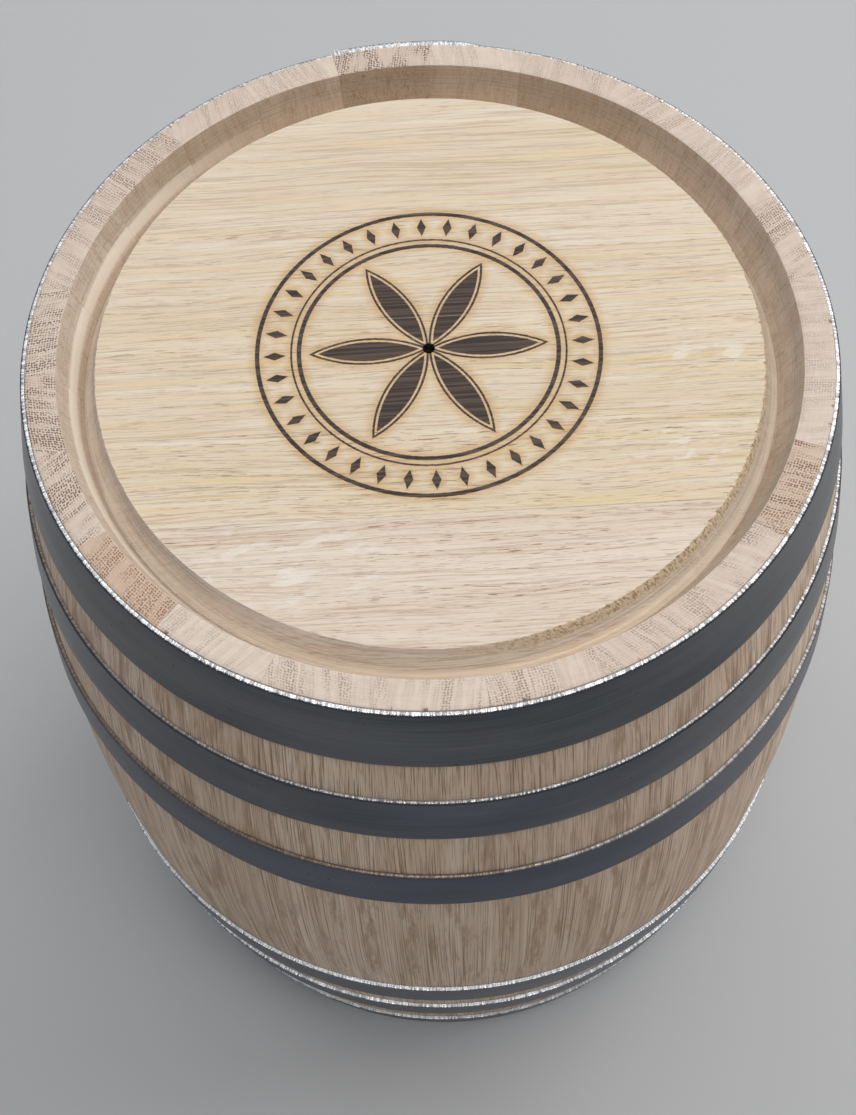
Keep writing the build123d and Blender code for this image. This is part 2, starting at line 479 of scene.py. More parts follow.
def stave_outside_material():
    tree = Finish("stave_outside_oak")
    warmth, seed = piece_look(tree)[2:]
    tone = tree.math("FRACT", seed * 31.7)
    place = tree.attribute("grain")
    grain = tree.use(
        long_grain, Place=place.stretch((0.4, 2.3, 0.4)), Seed=seed,
        Pale=tone.mix((0.96, 0.79, 0.64), (0.84, 0.66, 0.515)),
        Brown=warmth.mix((0.62, 0.44, 0.3), (0.62, 0.41, 0.265)),
        Pore=(0.35, 0.22, 0.135), Bands=0.35, Figure=0.4, Hairs=0.9, Pores=0.3)
    spread = place.in_mm().shift(tree.join(0, seed * 371, 0))
    patches = spread.noise((0.022, 0.15, 0), 4, 0.62, 0.2).step(0.5, 0.68, 0, 0.8)
    colour = patches.mix(grain["Colour"], (0.44, 0.285, 0.18))
    colour = darken_joints(tree, colour, (0.34, 0.23, 0.15), 0.25 * MM, 0.35)
    return tree.close(colour, grain["Shown"] * 0.1 + 0.66, (grain["Height"], 0.3, 0.12 * MM), gloss=0.3)


def stave_end_material():
    """Sawn end of a stave, chipped here and there along its outer edge."""
    tree = Finish("stave_end_oak")
    tone, pores, warmth, seed = piece_look(tree)
    place = tree.attribute("grain")
    pale = tone.mix((0.8, 0.69, 0.6), (0.7, 0.595, 0.51))
    grain = tree.use(
        end_grain, Place=place, Seed=seed,
        Pale=warmth.mix(pale, (0.64, 0.44, 0.3)),
        Brown=warmth.mix((0.6, 0.49, 0.41), (0.54, 0.35, 0.23)),
        Pore=warmth.mix((0.15, 0.1, 0.08), (0.34, 0.16, 0.09)), Pores=pores)
    colour = darken_joints(tree, grain["Colour"], (0.4, 0.3, 0.23), 0.2 * MM, 0.3)
    across, radius = place.split()[1:]
    spots = tree.join(across, seed, 0).noise((210, 97, 0), 3, 0.7)
    chips = radius.step(chime_radius - 1.3 * MM, chime_radius - 0.4 * MM) * spots.step(0.6, 0.68, 0, 0.85)
    colour = chips.mix(colour, (0.2, 0.11, 0.07))
    return tree.close(colour, 0.72, (grain["Height"], 0.35, 0.14 * MM), gloss=0.25)


def chime_wall_material():
    """Wall between the rim and a head: painted shade makes it browner at the back, and a painted highlight
    makes a pale cut near its foot at the left, where the wall faces the lamp on the right.
    """
    tree = Finish("chime_wall_oak")
    tone, pores, _, seed = piece_look(tree)
    place = tree.attribute("grain")
    grain = tree.use(
        long_grain, Place=place.stretch((6, 1.2, 0)), Seed=seed,
        Pale=tone.mix((0.75, 0.64, 0.545), (0.65, 0.54, 0.44)),
        Brown=(0.53, 0.42, 0.32), Pore=(0.31, 0.21, 0.135),
        Bands=0.35, Figure=0.5, Hairs=0.1, Pores=pores * 0.35 + 0.3)
    x, y, z = tree.object_place().split()
    # Masks for painted light: the back, which faces away from the lamps, and the left, which faces the lamp
    # on the right
    back = y.step(0.03, 0.11)
    left = x.step(-0.05, -0.12)
    below_rim = (half_height - abs(z - half_height)) * 1000
    cuts = place.in_mm().noise((1.5, 0.012, 0), 3, 0.7)
    colour = cuts.step(0.36, 0.54, 0.5, 0).mix(grain["Colour"], (0.44, 0.33, 0.235))
    colour = cuts.step(0.58, 0.66, 0, 0.35).mix(colour, (0.84, 0.73, 0.6))
    # Painted shade: the wall is darkened browner toward the back
    colour = back.mix(colour, (0.88, 0.82, 0.75), "MULTIPLY")
    colour = pores.step(1.9, 2.5).mix(colour, (0.92, 0.91, 0.88), "MULTIPLY")
    ragged = below_rim + cuts.swing(6)
    # Painted highlight: a pale cut band near the foot, only on the lit left side, and a faint brown band
    # below it on that side
    painted_lit_cut = ragged.step(8, 10) * ragged.step(13, 15.5, 1, 0) * left
    colour = (painted_lit_cut * 0.85).mix(colour, (0.97, 0.88, 0.76))
    colour = (ragged.step(14, 16, 0, 0.2) * left).mix(colour, (0.6, 0.45, 0.3))
    colour = darken_joints(tree, colour, (0.4, 0.29, 0.19), 0.2 * MM, 0.25)
    return tree.close(colour, 0.74, (cuts * 1.2 + grain["Height"], 0.45, 0.15 * MM), gloss=0.22)


def charred_material():
    """Burnt inside of the barrel, cracked into small cells."""
    tree = Finish("charred_oak")
    place = tree.attribute("grain").in_mm()
    cells = {"Vector": place.stretch((0.12, 0.2, 0.16)), "Scale": 1}
    cracks = tree.add("ShaderNodeTexVoronoi", cells, feature="DISTANCE_TO_EDGE")["Distance"]
    ash = place.noise((0.3, 0.3, 0.3), 3, 0.6)
    colour = ash.step(0.4, 0.75).mix((0.012, 0.011, 0.01), (0.05, 0.045, 0.04))
    return tree.close(colour, 0.8, (cracks.step(0, 0.12) + ash * 0.3, 0.8, 1.2 * MM))


def rosette_depth(tree, x, y):
    """How far inside the rosette's burnt lines a point lies, in millimetres, and below 0 outside them."""
    radius = tree.hypot(x, y)
    turn = tree.math("ARCTAN2", y, x)

    def folded(count):
        """Angle from the middle of the nearest of so many equal sectors."""
        sector = math.pi / count
        return abs(tree.math("WRAP", turn, sector, -sector))

    def band(value, middle, half_width):
        return half_width - abs(value - middle)

    lean = folded(petal_count)
    along = radius * tree.math("COSINE", lean) - petal_reach / 2
    across = radius * tree.math("SINE", lean) + petal_reach * math.sqrt(3) / 2
    petal = petal_reach - tree.hypot(along, across)
    lozenge_beside = radius * tree.math("SINE", folded(lozenge_count))
    lozenge_beyond = abs(radius - lozenge_ring) * (lozenge_half_width / lozenge_half_length)
    burnt = [band(petal, petal_rim / 2, petal_rim / 2), petal - (petal_rim + petal_gap)]
    burnt += [band(radius, ring_radius, half_width) for ring_radius, half_width in rosette_rings]
    burnt.append(lozenge_half_width - (lozenge_beside + lozenge_beyond))
    return tree.largest(*burnt)


def ray_flakes(tree, x, y, z, ribs):
    """Mask of the pale flakes where the oak's rays come to the face of a head."""
    cosine, sine = flake_lean
    rise = y * cosine - x * sine
    run = x * cosine + y * sine
    flakes = tree.join(run, rise, z).noise((0.075, 0.2, 0))
    flakes = (flakes + ribs.swing(0.25)).step(0.57, 0.63)
    shown = []
    for flake_x, flake_y, reach in flake_places:
        away = tree.join(x, y, 0).shift((-flake_x, -flake_y, 0)).stretch((1, 2, 0)).length()
        shown.append(away.step(0.5 * reach, reach, 1, 0))
    return flakes * tree.largest(*shown)


def head_face_material():
    """Face of a head: yellow and white streaks, ray flakes and, on the upper head, the burnt rosette."""
    tree = Finish("head_face_oak")
    tone, pores, warmth, seed = piece_look(tree)
    place = tree.attribute("grain")
    pale = warmth.mix((0.81, 0.7, 0.6), (0.8, 0.685, 0.53))
    grain = tree.use(
        long_grain, Place=place, Seed=seed,
        Pale=tone.mix(pale, (0.75, 0.635, 0.49)),
        Brown=warmth.mix((0.64, 0.505, 0.37), (0.67, 0.53, 0.31)),
        Pore=(0.32, 0.2, 0.11), Bands=0.3, Figure=0.12, Hairs=0.28, Pores=pores * 1.6)
    place = place.in_mm()
    spread = place.shift(tree.join(seed, seed * 53, seed))
    ribs = spread.noise((0.012, 0.7, 0.1), 2, 0.6)
    streaks = spread.noise((0.01, 0.3, 0.1), 3, 0.6)
    yellow = streaks.step(0.53, 0.64) * warmth * 0.75
    colour = yellow.mix(grain["Colour"], (0.76, 0.61, 0.29))
    colour = streaks.step(0.45, 0.34, 0, 0.4).mix(colour, (0.87, 0.8, 0.69))
    x, y, z = place.split()
    flakes = ray_flakes(tree, x, y, z, ribs)
    colour = (flakes * 0.45).mix(colour, (0.89, 0.84, 0.78))
    colour = darken_joints(tree, colour, (0.58, 0.45, 0.3), 0.2 * MM, 0.35)
    upper = z.step(1000 * half_height - 1, 1000 * half_height + 1)
    crumbs = spread.noise((0.6, 1.8, 0.1), 2, 0.6)
    smoke = spread.noise((0.12, 0.2, 0.1), 2, 0.6)
    depth = rosette_depth(tree, x, y) + crumbs.swing(0.5)
    halo = (depth + smoke.swing(3)).step(-scorch_reach, 0.6, 0, 0.75) * upper
    burnt = depth.step(-0.15, 0.12) * upper
    colour = halo.mix(colour, (0.84, 0.66, 0.43), "MULTIPLY")
    char = ribs.step(0.4, 0.62).mix((0.03, 0.021, 0.018), (0.1, 0.066, 0.052))
    colour = burnt.mix(colour, char)
    height = grain["Height"] - burnt * 2 + burnt * ribs * 2
    return tree.close(colour, 0.6 - flakes * 0.15, (height, 0.3, 0.12 * MM), gloss=0.3)


def head_bevel_material():
    """Bevel round a head: turned lines all round, torn end grain where the boards end at the right, a pale
    band at the toe, and painted shade on the left, which faces away from the lamp on the right.
    """
    tree = Finish("head_bevel_oak")
    seed = tree.attribute("seed", "Fac")
    place = tree.attribute("grain")
    x, y, z = place.split()
    along = tree.use(
        long_grain, Place=tree.join(x, y + z, z), Seed=seed,
        Pale=(0.9, 0.825, 0.735), Brown=(0.73, 0.63, 0.525), Pore=(0.44, 0.34, 0.25),
        Bands=0.4, Figure=0.3, Hairs=0.4, Pores=0.9)
    ends = tree.use(
        end_grain, Place=place, Seed=seed, Pale=(0.88, 0.795, 0.695), Brown=(0.7, 0.59, 0.475),
        Pore=(0.42, 0.31, 0.22), Pores=0.4)
    radius = tree.hypot(x, y)
    side = x / radius
    colour = abs(side).step(0.35, 0.75).mix(along["Colour"], ends["Colour"])
    below = (head_top - half_height - abs(z - half_height)) * 1000
    turned = tree.join(x, y, below)
    cuts = turned.noise((22, 22, 1.3), 4, 0.75)
    colour = cuts.step(0.36, 0.52, 0.55, 0).mix(colour, (0.5, 0.4, 0.31))
    colour = cuts.step(0.54, 0.66, 0, 0.35).mix(colour, (0.93, 0.85, 0.74))
    # Pale band at the toe: weaker at the right, and faintest at the left as painted shade
    toe = below.step(9.4, 10.2) * side.step(-0.85, -0.2, 0.15, 0.75) * side.step(0.3, 0.9, 1, 0.5)
    toe_lines = turned.noise((22, 22, 3.25), 2, 0.6)
    toe_tone = toe_lines.step(0.4, 0.55).mix((0.83, 0.67, 0.5), (0.95, 0.84, 0.7))
    colour = toe.mix(colour, toe_tone)
    # Painted shade: the upper bevel is darkened, a little blue, at the left, which faces away from the lamp
    # on the right
    left = side.step(-0.3, -0.8) * below.step(1, 9, 1, 0.2)
    colour = left.mix(colour, (0.8, 0.8, 0.85), "MULTIPLY")
    torn = place.in_mm().noise((0.5, 1.8, 0.45), 3, 0.7)
    toward = x * math.cos(torn_side) + y * math.sin(torn_side)
    right = (toward / radius).step(0.45, 0.8) * below.step(3, 6, 1, 0)
    colour = (right * 0.6).mix(colour, (0.78, 0.62, 0.4))
    torn_marks = torn.step(0.4, 0.52, 0.85, 0) * right
    colour = torn_marks.mix(colour, (0.36, 0.24, 0.12))
    height = torn * right + along["Height"] * 0.3 + cuts * 0.9
    return tree.close(colour, 0.8, (height, 0.6, 0.4 * MM), gloss=0.2)


def hoop_face_material():
    """Face of a hoop, from grey to blue, the blue partly the steel's own tint and partly a painted
    reflection, with a few rust spots.
    """
    tree = Finish("hoop_face_steel")
    place = tree.attribute("grain")
    spread = place.in_mm()
    tints = spread.noise((0.006, 0.01, 0.01), 1).step(0.35, 0.65, -0.15, 0.15)
    # Blue of each hoop: partly its own tint, partly a painted blue reflection
    tints = tree.math("ADD", tree.attribute("blue", "Fac"), tints, clamp=True)
    steel = tree.use(
        rolled_steel, Place=place,
        Light=tints.mix((0.16, 0.166, 0.166), (0.072, 0.086, 0.126)),
        Dark=tints.mix((0.084, 0.089, 0.093), (0.038, 0.047, 0.078)))
    rust = spread.noise((0.07, 0.12, 0.1), 4, 0.65)
    colour = rust.step(0.67, 0.74, 0, 0.7).mix(steel["Colour"], (0.13, 0.07, 0.05))
    return tree.close(colour, steel["Roughness"], (steel["Height"], 0.1, 0.05 * MM), metal=1)


def hoop_edge_material():
    """Sheared edges of the hoops, bright and beaded where they are bare, and lightened by a painted
    highlight toward the lit side.
    """
    tree = Finish("hoop_edge_steel")
    painted_glint = tree.attribute("painted_glint", "Fac")
    place = tree.attribute("grain").in_mm()
    beads = place.noise((1.3, 0.1, 0), 2, 0.6)
    grit = place.noise((2.4, 2.4, 2.4), 3, 0.65)
    loose_grit = grit.swing(0.8)
    mixed = beads + loose_grit
    # Painted highlight: the glint lightens both the dull and the clean steel
    dull = painted_glint.mix((0.1, 0.082, 0.068), (0.34, 0.345, 0.355))
    clean = painted_glint.mix((0.16, 0.132, 0.11), (0.78, 0.785, 0.8))
    colour = mixed.step(0.4, 0.62).mix(dull, clean)
    bare = tree.attribute("bare", "Fac") + loose_grit + beads.swing(0.5)
    colour = bare.step(-0.06, 0.1).mix((0.055, 0.06, 0.068), colour)
    height = (beads + grit * 0.4) * (painted_glint * 0.8 + 0.2)
    return tree.close(colour, mixed.step(0.35, 0.65, 0.5, 0.26), (height, 1, 0.3 * MM), metal=1)


def rivet_material():
    tree = Finish("rivet_steel")
    steel = tree.use(
        rolled_steel, Place=tree.object_place(), Light=(0.34, 0.35, 0.37), Dark=(0.2, 0.21, 0.23))
    return tree.close(steel["Colour"], steel["Roughness"], (steel["Height"], 0.4, 0.15 * MM), metal=1)


def bung_side_material():
    tree = Finish("bung_side_wood")
    grain = tree.use(
        long_grain, Place=tree.attribute("grain"), Seed=0.37,
        Pale=(0.62, 0.47, 0.31), Brown=(0.42, 0.28, 0.16), Pore=(0.2, 0.12, 0.06),
        Bands=0.5, Figure=0.4, Hairs=0.3, Pores=0.6)
    return tree.close(grain["Colour"], 0.6, (grain["Height"], 0.3, 0.12 * MM), gloss=0.3)


def bung_end_material():
    tree = Finish("bung_end_wood")
    grain = tree.use(
        end_grain, Place=tree.attribute("grain"), Seed=0.61,
        Pale=(0.63, 0.48, 0.32), Brown=(0.44, 0.3, 0.18), Pore=(0.2, 0.12, 0.07), Pores=0.8)
    return tree.close(grain["Colour"], 0.68, (grain["Height"], 0.4, 0.15 * MM), gloss=0.25)


def dowel_material():
    tree = Finish("dowel_wood")
    x, y, z = tree.object_place().split()
    grain = tree.use(
        long_grain, Place=tree.join(y, x, z), Seed=0.2,
        Pale=(0.68, 0.54, 0.38), Brown=(0.52, 0.38, 0.25), Pore=(0.3, 0.2, 0.12),
        Bands=0.4, Figure=0.2, Hairs=0.2, Pores=0.4)
    return tree.close(grain["Colour"], 0.65)


# Finishes of each kind of piece, and the zones of its faces in the same order
charred_oak = charred_material()
stave_finishes = [stave_outside_material(), stave_end_material(), chime_wall_material(), charred_oak]
OUTSIDE, END, WALL, INSIDE = range(4)
board_finishes = [head_face_material(), head_bevel_material(), charred_oak]
FACE, BEVEL, UNDER = range(3)
hoop_finishes = [hoop_face_material(), hoop_edge_material()]
STRIP, SHEARED = range(2)
bung_finishes = [bung_side_material(), bung_end_material()]
BUNG_SIDE, BUNG_END = range(2)
dowel_wood = dowel_material()


# Making and marking meshes
def new_piece(name, points, faces, zones, materials):
    mesh = bpy.data.meshes.new(name)
    mesh.from_pydata(points, [], faces)
    for material in materials:
        mesh.materials.append(material)
    for polygon, zone in zip(mesh.polygons, zones):
        polygon.material_index = zone
    piece = bpy.data.objects.new(name, mesh)
    bpy.context.collection.objects.link(piece)
    return piece


def smooth(piece, sharp_degrees=wood_sharp_degrees):
    mesh = piece.data
    mesh.polygons.foreach_set("use_smooth", [True] * len(mesh.polygons))
    mesh.set_sharp_from_angle(angle=math.radians(sharp_degrees))


def cut(piece, tool):
    """Takes the tool's shape out of a piece."""
    modifier = piece.modifiers.new("cut", "BOOLEAN")
    modifier.operation = "DIFFERENCE"
    modifier.solver = "EXACT"
    modifier.object = tool
    bpy.context.view_layer.update()
    solid = piece.evaluated_get(bpy.context.evaluated_depsgraph_get())
    mesh = bpy.data.meshes.new_from_object(solid)
    piece.modifiers.clear()
    piece.data = mesh
    bpy.data.objects.remove(tool)


def write_vectors(mesh, name, vectors):
    layer = mesh.attributes.new(name, "FLOAT_VECTOR", "POINT")
    layer.data.foreach_set("vector", [number for vector in vectors for number in vector])


def write_values(mesh, name, values):
    layer = mesh.attributes.new(name, "FLOAT", "POINT")
    layer.data.foreach_set("value", values)


def mark_wood(mesh, places, edges, look, seed):
    """Stores where each point lies in the wood and how near its joint is, and the look of the piece."""
    write_vectors(mesh, "grain", places)
    write_values(mesh, "edge_distance", edges)
    write_vectors(mesh, "look", [look] * len(places))
    write_values(mesh, "seed", [seed] * len(places))


def finish_piece(piece, body, node):
    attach(piece, body)
    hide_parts(node)


def between(first, last, count):
    return [first + (last - first) * step / count for step in range(count + 1)]


def skin(loops, zone_at, first_zone, last_zone):
    """Closed skin over a row of point loops, as points, faces and the zone of each face."""
    count = len(loops[0])
    faces = []
    zones = []
    for row in range(len(loops) - 1):
        a, b = row * count, (row + 1) * count
        for index in range(count):
            after = (index + 1) % count
            faces.append((a + index, b + index, b + after, a + after))
            zones.append(zone_at(row, index))
    faces.append(tuple(range(count)))
    faces.append(tuple(reversed(range((len(loops) - 1) * count, len(loops) * count))))
    points = [point for loop in loops for point in loop]
    return points, faces, zones + [first_zone, last_zone]


def turned_piece(name, outline, zones, materials, place, segments):
    """Piece turned about its own Z axis from an outline of (radius, height) that starts and ends on it."""
    points = []
    rings = []
    for radius, height in outline:
        count = segments if radius else 1
        rings.append([len(points) + step % count for step in range(segments + 1)])
        for step in range(count):
            turn = 2 * math.pi * step / segments
            points.append(place @ Vector((radius * math.cos(turn), radius * math.sin(turn), height)))
    faces = []
    for low, high in zip(rings, rings[1:]):
        for step in range(segments):
            corners = (low[step], low[step + 1], high[step + 1], high[step])
            faces.append(tuple(dict.fromkeys(corners)))
    face_zones = [zone for zone in zones for step in range(segments)]
    return new_piece(name, points, faces, face_zones, materials)


# Staves
def stave_section():
    """Section of a stave from half height up and round: (radius, height, zone of what follows)."""
    edge = barrel_height - rim_edge
    inner = chime_radius - chime_width
    section = [(wood_radius(z), z, OUTSIDE) for z in between(half_height, edge, outside_rows)[:-1]]
    section.append((wood_radius(edge), edge, END))
    section.append((chime_radius - outer_shoulder[0], barrel_height - outer_shoulder[1], END))
    rim = between(chime_radius - rim_edge, inner + rim_edge, rim_rows)
    section += [(radius, barrel_height, END) for radius in rim]
    section.append((inner + inner_shoulder[0], barrel_height - inner_shoulder[1], WALL))
    for part in between(howel_start, 1.0, wall_rows):
        radius = inner + (lip_radius - inner) * part + howel_depth * math.sin(math.pi * part)
        section.append((radius, barrel_height - gutter_depth * part, WALL))
    groove = [(groove_radius, groove_top - croze_taper), (groove_radius, groove_bottom + croze_taper)]
    section += [(radius, z, INSIDE) for radius, z in groove + [(lip_radius, groove_bottom)]]
    middle_radius = bilge_radius - stave_thickness
    rise = groove_bottom - half_height
    sag = middle_radius - lip_radius
    inner_arc = (rise**2 + sag**2) / (2 * sag)
    for z in between(groove_bottom, half_height, inside_rows)[1:]:
        drop = inner_arc - math.sqrt(inner_arc**2 - (z - half_height)**2)
        section.append((middle_radius - drop, z, INSIDE))
    pairs = zip(section, section[1:-1])
    lower = [(point[0], barrel_height - point[1], before[2]) for before, point in pairs]
    return section + lower[::-1]


def shrunk(section, amount):
    """The section drawn in by an amount, for the rounded long edges of a stave."""
    result = []
    for before, (radius, z, zone), after in zip(section[-1:] + section, section, section[1:] + section[:1]):
        along = Vector((after[0] - before[0], after[1] - before[1])).normalized()
        result.append((radius - along.y * amount, z + along.x * amount, zone))
    return result


def stave_span(node):
    """Middle and half width, as angles, of a CAD stave."""
    points = [vertex.co for vertex in frame["nodes"][node].data.vertices]
    guess = math.atan2(sum(p.y for p in points), sum(p.x for p in points))
    back = Matrix.Rotation(-guess, 3, "Z")
    angles = [math.atan2(p.y, p.x) for p in (back @ point for point in points)]
    low, high = min(angles), max(angles)
    return guess + (low + high) / 2, (high - low) / 2


stave_body = stave_section()
stave_side = shrunk(stave_body, stave_edge)


def stave_piece(node, middle, half, dice):
    """One stave, with an end that stands a little low and leans, and an outside that lies a little deep."""
    drop = uneven_rim * dice.random()**2
    sunk = uneven_outside * dice.random()
    tilt = dice.uniform(-rim_tilt, rim_tilt)

    def column(section, inset, share):
        made = []
        for radius, z, _ in section:
            reach = half - inset / radius
            angle = middle + share * reach
            up = (z - half_height) / half_height
            end = max(0.0, (abs(up) - (1 - uneven_share)) / uneven_share)
            z_moved = z - up * end * drop * (1 + tilt * share)
            r_moved = radius - sunk * (1 - up * up)
            made.append((r_moved * math.cos(angle), r_moved * math.sin(angle), z_moved))
        return made

    columns = [column(stave_side, joint_gap, -1.0)]
    for share in between(-1.0, 1.0, stave_columns):
        columns.append(column(stave_body, joint_gap + stave_edge, share))
    columns.append(column(stave_side, joint_gap, 1.0))
    points, faces, zones = skin(columns, lambda row, index: stave_body[index][2], INSIDE, INSIDE)
    return new_piece(f"oak_{node}", points, faces, zones, stave_finishes)


def add_stave(node, number, hole=None):
    dice = random.Random(f"stave {number}")
    middle, half = stave_span(node)
    piece = stave_piece(node, middle, half, dice)
    if hole:
        cut(piece, hole)
    smooth(piece)
    turn = Matrix.Rotation(-middle, 3, "Z")
    places = []
    edges = []
    for vertex in piece.data.vertices:
        local = turn @ vertex.co
        radius, angle = math.hypot(local.x, local.y), math.atan2(local.y, local.x)
        places.append((local.z, angle * radius, radius))
        edges.append(max(0.0, (half - abs(angle)) * radius))
    plain = (dice.random(), dice.uniform(*plain_pores), dice.uniform(*plain_warmth))
    mark_wood(piece.data, places, edges, marked_staves.get(number, plain), dice.random())
    finish_piece(piece, "barrel", node)


# Bung and its hole
bung_place = Matrix.Translation(bung_axis * bilge_radius + Vector((0, 0, half_height)))
bung_place = bung_place @ bung_axis.to_track_quat("Z", "X").to_matrix().to_4x4()


def bung_radius_at(height):
    """Radius of the bung at a height along its axis."""
    return bung_radius - bung_taper * (bung_proud - height) / 2


def bung_hole():
    """Tool that cuts the bung hole, longer than the stave is thick."""
    deep, out = -hole_tool_depth, hole_tool_proud
    narrow = bung_radius_at(deep) + bung_clearance
    wide = bung_radius_at(out) + bung_clearance
    outline = [(0, deep), (narrow, deep), (wide, out), (0, out)]
    return turned_piece("hole_tool", outline, [WALL] * 3, stave_finishes, bung_place, bung_segments)


def add_bung():
    top = bung_proud
    foot = bung_proud - bung_length
    foot_radius = bung_radius_at(foot)
    outline = [(0, foot), (foot_radius - bung_foot_round, foot), (foot_radius, foot + bung_foot_round)]
    for height in between(foot + bung_foot_round, top - bung_round, bung_rows)[1:]:
        outline.append((bung_radius_at(height), height))
    rim = bung_radius_at(top - bung_round)
    for turn in between(0, 90, bung_round_rows)[1:]:
        angle = math.radians(turn)
        outline.append((rim - bung_round * (1 - math.cos(angle)), top - bung_round * (1 - math.sin(angle))))
    outline.append((rim * dish_shoulder_share, top - dish_shoulder_drop))
    outline.append((0, top - bung_dish))
    zones = [BUNG_END] * 2 + [BUNG_SIDE] * (len(outline) - 5) + [BUNG_END] * 2
    piece = turned_piece("oak_bung", outline, zones, bung_finishes, bung_place, bung_segments)
    smooth(piece)
    back = bung_place.inverted()
    places = [back @ vertex.co for vertex in piece.data.vertices]
    write_vectors(piece.data, "grain", [(p.z, p.x, p.y) for p in places])
    finish_piece(piece, "bung", "bung")


# Heads
def torn_edge(x, y):
    """How far the fibres are torn back from the rim of a head, most at the right."""
    turn = math.atan2(y, x)
    right = max(0.0, math.cos(turn - torn_side))
    left = max(0.0, -math.cos(turn)) * left_tear
    teeth = noise.noise(Vector((x, y, 0)) / tooth_width)
    teeth += fine_tooth_share * noise.noise(Vector((y, x, 0)) / fine_tooth_width)
    return tooth_depth * (right + left) * max(0.0, teeth)


def board_loop(low, high, radius, inset, z, torn):
    """Outline of one head board at one height: its right arc, then its left arc."""
    near = -radius if low < -head_flat_radius else low + inset
    far = radius if high > head_flat_radius else high - inset
    start, stop = math.asin(near / radius), math.asin(far / radius)
    flat_start = math.asin(max(low, -head_flat_radius) / head_flat_radius)
    flat_stop = math.asin(min(high, head_flat_radius) / head_flat_radius)
    count = max(least_arc_steps, round((flat_stop - flat_start) / arc_step))
    right = [(radius * math.cos(a), radius * math.sin(a)) for a in between(start, stop, count)]
    left = [(-x, y) for x, y in reversed(right)]
    if far == radius:
        left = left[1:]
    if near == -radius:
        left = left[:-1]
    loop = []
    for x, y in right + left:
        back = torn * torn_edge(x, y)
        loop.append((x - math.copysign(back, x) if abs(x) > back else x, y, z))
    return loop


def board_layers():
    """Heights of a head board from its face down: (radius, height, zone above, torn share)."""
    foot_radius = lip_radius - joint_gap
    foot_top = groove_top - head_clearance
    toe_radius = bevel_foot_radius - bevel_toe_width
    toe_top = foot_top + bevel_toe_rise
    layers = [
        (head_flat_radius - face_round, head_top, FACE, 1.0),
        (head_flat_radius, head_top - face_round, BEVEL, 1.0),
    ]
    for part in between(0.0, 1.0, bevel_rows)[1:]:
        radius = head_flat_radius + (toe_radius - head_flat_radius) * part
        layers.append((radius, head_top + (toe_top - head_top) * part, BEVEL, bevel_tear * (1 - part)))
    for part in between(0.0, 1.0, toe_rows)[1:]:
        radius = toe_radius + (foot_radius - toe_radius) * part
        layers.append((radius, toe_top + (foot_top - toe_top) * part, BEVEL, 0.0))
    return layers + [
        (tongue_radius, groove_top - croze_taper - head_clearance, UNDER, 0.0),
        (tongue_radius, groove_bottom + croze_taper + head_clearance, UNDER, 0.0),
        (bevel_foot_radius, groove_bottom + head_clearance, UNDER, 0.0),
        (bevel_foot_radius - head_underbevel_width, head_bottom, UNDER, 0.0),
    ]


def head_board(node, low, high, upside_down):
    loops = []
    zones = []
    for radius, z, zone, torn in board_layers():
        inset = face_seam_edge if zone == FACE else seam_edge
        loops.append(board_loop(low, high, radius, inset, z, torn))
        zones.append(zone)
    points, faces, face_zones = skin(loops, lambda layer, index: zones[layer + 1], FACE, UNDER)
    if upside_down:
        points = [(x, y, barrel_height - z) for x, y, z in points]
        faces = [tuple(reversed(face)) for face in faces]
    return new_piece(f"oak_{node}", points, faces, face_zones, board_finishes)


def pilot_tool(z):
    """Tool that cuts the blind hole at the centre of a head, as far above its face as below it."""
    deep = pilot_depth
    place = Matrix.Translation((0, 0, z))
    outline = [(0, -deep), (pilot_radius, -deep), (pilot_radius, deep), (0, deep)]
    # Its faces take the charred finish, which paints the hole dark inside: partly burnt wood, partly
    # painted shade in the hole
    return turned_piece("pilot_tool", outline, [UNDER] * 3, board_finishes, place, pilot_segments)


def add_head(end, upside_down):
    for number in range(1, board_count + 1):
        node = f"{end}_head_board_{number}"
        low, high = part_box(node)[0].y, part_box(node)[1].y
        piece = head_board(node, low, high, upside_down)
        if low < 0 < high:
            cut(piece, pilot_tool(barrel_height - head_top if upside_down else head_top))
        smooth(piece)
        places = [vertex.co for vertex in piece.data.vertices]
        edges = [max(0.0, min(place.y - low, high - place.y)) for place in places]
        seed = board_seed_step * number + (bottom_head_seed if upside_down else 0.0)
        mark_wood(piece.data, places, edges, board_looks[number - 1], seed)
        finish_piece(piece, "barrel", node)


# Hoops
def hoop_section(low, high, slanted):
    """Section of a strip from its lower inside edge, as (offset from the wood, height, zone, drop).

    The upper edge drops by a crown, or by a slant."""
    outer = hoop_thickness
    section = [(0.0, z, STRIP, 0.0) for z in between(low, high, hoop_inside_rows)[:-1]]
    for part in between(0.0, 1.0, hoop_edge_rows):
        bow = 1 - part if slanted else math.sqrt(1 - part * part)
        section.append((outer * part, high, SHEARED if part < 1 else STRIP, hoop_crown * (1 - bow)))
    face_top = high - hoop_crown - 2 * hoop_corner
    face_foot = low + 3 * hoop_corner
    section += [(outer, z, STRIP, 0.0) for z in between(face_top, face_foot, hoop_face_rows)]
    corner = corner_share * hoop_corner
    foot = [(outer, low + hoop_corner), (outer - corner, low + corner), (outer / 2, low)]
    return section + [(offset, z, STRIP, 0.0) for offset, z in foot]


def clipped(value):
    return max(0.0, min(1.0, value))


